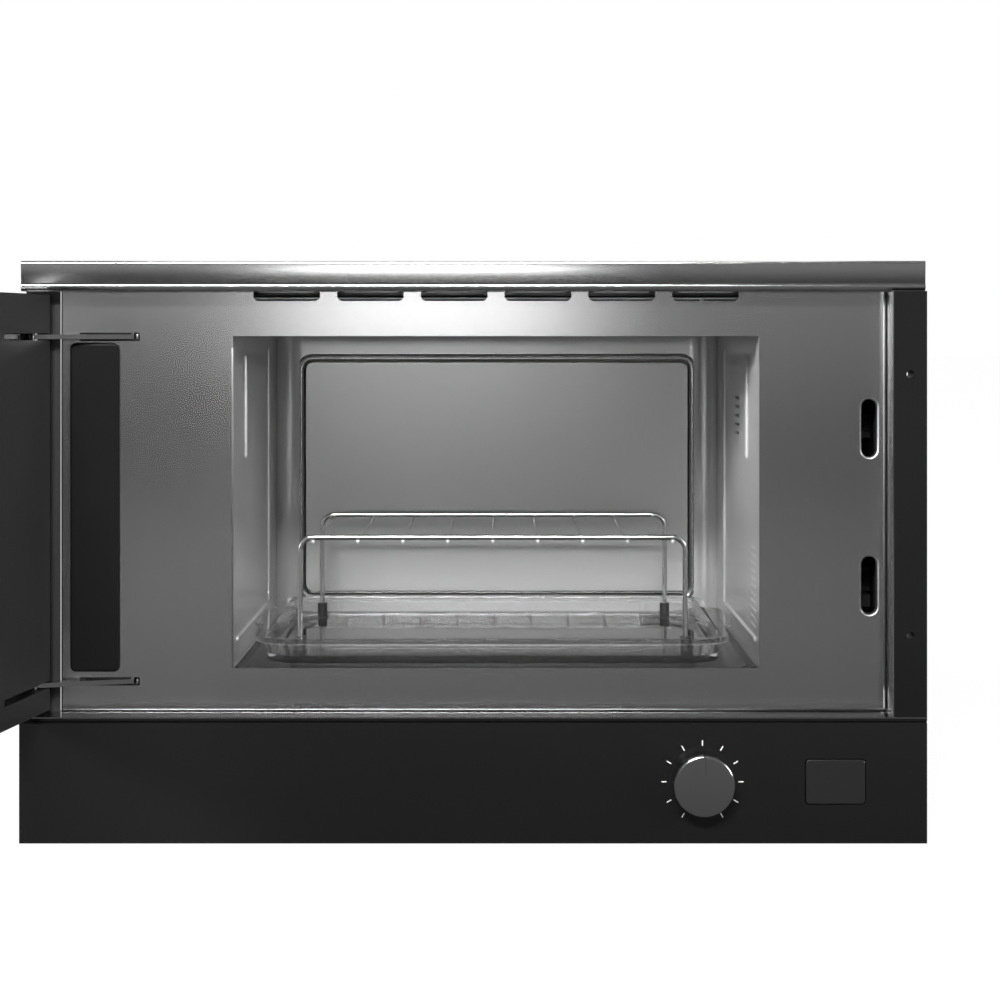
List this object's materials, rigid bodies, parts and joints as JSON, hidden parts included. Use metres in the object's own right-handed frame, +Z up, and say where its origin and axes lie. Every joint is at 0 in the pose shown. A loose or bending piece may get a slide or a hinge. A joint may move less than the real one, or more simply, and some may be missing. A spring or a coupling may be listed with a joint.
{
  "type": "built-in microwave",
  "caption": "Built-in microwave with a side-hinged glass door, stainless front plate, glass-ceramic floor, glass tray, wire rack and a control panel below.",
  "frame": {"origin": "middle of the front at the bottom, in the plane of the stainless front plate, on the face that the appliance stands on", "axes": "+X to the right, +Y back into the niche, +Z up; the door is open at rest"},
  "size_m": [0.6917, 0.8662, 0.382],
  "materials": {
    "cavity_steel": "satin",
    "front_steel": "brushed",
    "trim_steel": "brushed",
    "glass_ceramic": "polished",
    "silicone": "matte",
    "black_plastic": "matte",
    "black_gloss": "gloss",
    "white_plastic": "matte",
    "black_paint": "satin",
    "galvanised_sheet": "matte",
    "rubber": "matte",
    "screw_steel": "plated",
    "aluminium": "satin",
    "motor_metal": "satin",
    "circuit_board": "matte",
    "lamp_glass": "clear",
    "quartz": "frosted",
    "hinge_steel": "zinc plated",
    "black_glass": "polished",
    "screen_metal": "satin",
    "pane_glass": "polished",
    "tray_glass": "polished",
    "rack_chrome": "polished"
  },
  "bodies": {
    "housing": {"cavity_shell": "cavity_steel", "front_plate": "front_steel", "floor_plate": "glass_ceramic", "floor_seal": "silicone", "hinge_cover": "black_plastic", "top_trim_bar": "trim_steel", "side_cheek_right": "black_plastic", "side_strip_left": "black_paint", "side_flange_right": "trim_steel", "panel_ledge": "trim_steel", "outer_casing": "galvanised_sheet", "exhaust_duct": "black_plastic", "base_pan": "galvanised_sheet", "rear_panel": "galvanised_sheet", "support_feet": "rubber", "casing_screws": "screw_steel", "stirrer_motor": "motor_metal", "waveguide": "aluminium", "magnetron": "motor_metal", "magnetron_fins": "aluminium", "fan_housing": "black_plastic", "fan_motor": "motor_metal", "air_duct": "black_plastic", "inverter": "circuit_board", "filter_board": "circuit_board", "mains_inlet": "black_plastic", "thermal_cutouts": "motor_metal", "lamp_housing": "aluminium", "lamp_bulb": "lamp_glass", "grill_reflector": "aluminium", "grill_element": "quartz", "latch_bracket": "black_plastic", "interlock_switches": "black_plastic", "hinge_leaf_upper": "hinge_steel", "hinge_leaf_lower": "hinge_steel", "hinge_pins": "hinge_steel", "control_housing": "black_plastic", "control_glass": "black_glass", "display_module": "black_plastic", "control_board": "circuit_board", "knob_encoder": "motor_metal"},
    "door": {"door_outer_glass": "black_glass", "door_frame": "black_paint", "choke_frame": "black_plastic", "door_screen": "screen_metal", "door_inner_glass": "pane_glass", "latch_spring": "screw_steel"},
    "latch": {"door_latch": "white_plastic"},
    "button": {"release_button": "black_gloss"},
    "rod": {"release_rod": "black_plastic"},
    "knob": {"control_knob": "trim_steel"},
    "antenna": {"stirrer_antenna": "aluminium"},
    "fan": {"fan_wheel": "black_plastic"},
    "tray": {"glass_tray": "tray_glass"},
    "rack": {"rack_front_frame": "rack_chrome", "rack_rear_frame": "rack_chrome", "rack_wires": "rack_chrome", "rack_feet": "rubber"}
  },
  "joints": [
    {"name": "door_hinge", "type": "hinge", "parent": "housing", "child": "door", "pos_m": [-0.289, -0.013, 0.222], "axis": [0, 0, 1], "range_deg": [0, 100]},
    {"name": "latch_lift", "type": "slide", "parent": "door", "child": "latch", "axis": [0, 0, 1], "range_m": [0, 0.004], "stiffness_N_per_m": 200, "springref_m": -0.004, "deforming": ["latch_spring"]},
    {"name": "button_press", "type": "slide", "parent": "housing", "child": "button", "axis": [0, 1, 0], "range_m": [0, 0.004], "stiffness_N_per_m": 400},
    {"name": "rod_lift", "type": "slide", "parent": "housing", "child": "rod", "axis": [0, 0, 1], "range_m": [0, 0.004]},
    {"name": "knob_turn", "type": "hinge", "parent": "housing", "child": "knob", "pos_m": [0.15, -0.02, 0.041], "axis": [0, -1, 0], "continuous": true},
    {"name": "antenna_turn", "type": "hinge", "parent": "housing", "child": "antenna", "pos_m": [0.015, 0.135, 0.09], "axis": [0, 0, 1], "continuous": true},
    {"name": "fan_turn", "type": "hinge", "parent": "housing", "child": "fan", "pos_m": [0.23175, 0.28, 0.14], "axis": [0, 1, 0], "continuous": true},
    {"name": "tray_lift", "type": "slide", "parent": "housing", "child": "tray", "axis": [0, 0, 1], "range_m": [0, 0.06]},
    {"name": "rack_lift", "type": "slide", "parent": "tray", "child": "rack", "axis": [0, 0, 1], "range_m": [0, 0.04]}
  ],
  "couplings": [
    {"joint": "rod_lift", "follows": "button_press", "ratio": 1},
    {"joint": "latch_lift", "follows": "button_press", "ratio": 1}
  ]
}
